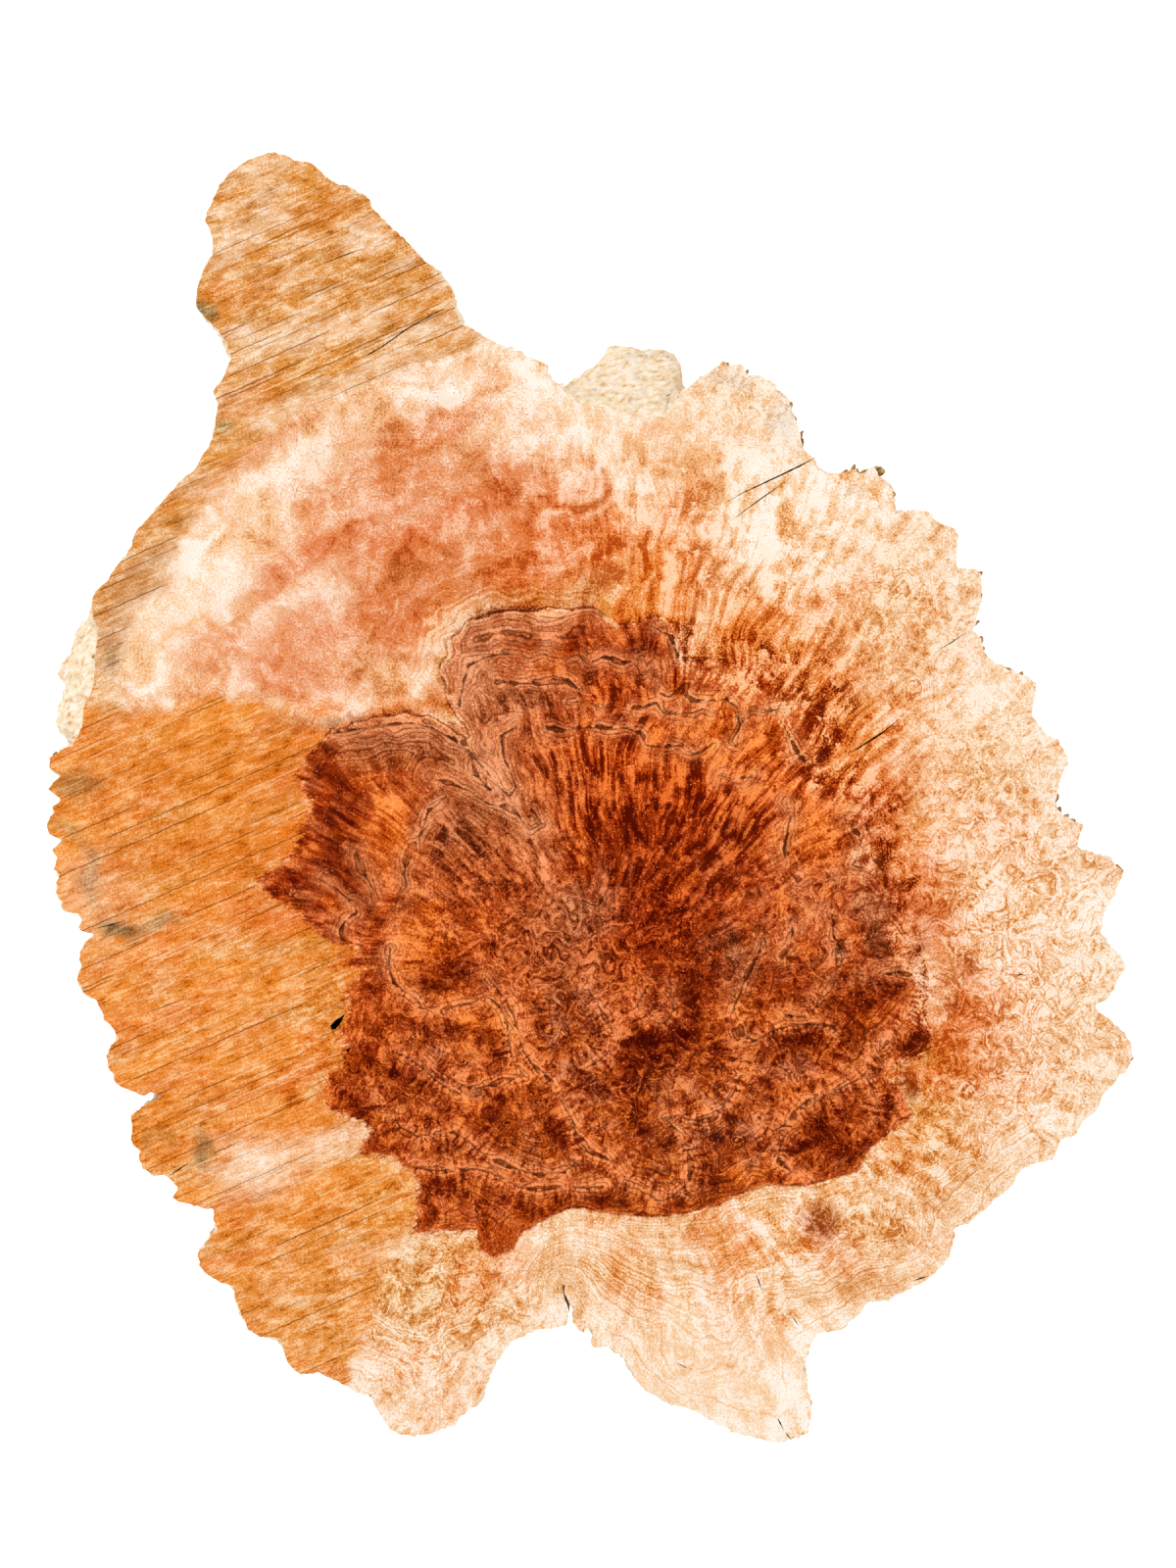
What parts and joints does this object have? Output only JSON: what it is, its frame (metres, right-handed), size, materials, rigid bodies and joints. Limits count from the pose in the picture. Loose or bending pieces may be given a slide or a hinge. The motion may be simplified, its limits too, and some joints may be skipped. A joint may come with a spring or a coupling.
{
  "type": "burl blank",
  "caption": "Flat slab sawn from a mallee root burl, with its natural lobed live edge, a horn at one end and two feet at the other.",
  "frame": {"origin": "under the middle of the slab's bounding box, on the lower sawn face", "axes": "+X across the slab, +Y along it towards the horn, +Z out of the show face"},
  "size_m": [0.2796, 0.3298, 0.032],
  "materials": {
    "burl_wood": "dry sawn burl, orange-red heart with dark flecks and eyes, cream sapwood, matt"
  },
  "bodies": {
    "root": {"burl_slab": "burl_wood"}
  },
  "joints": []
}
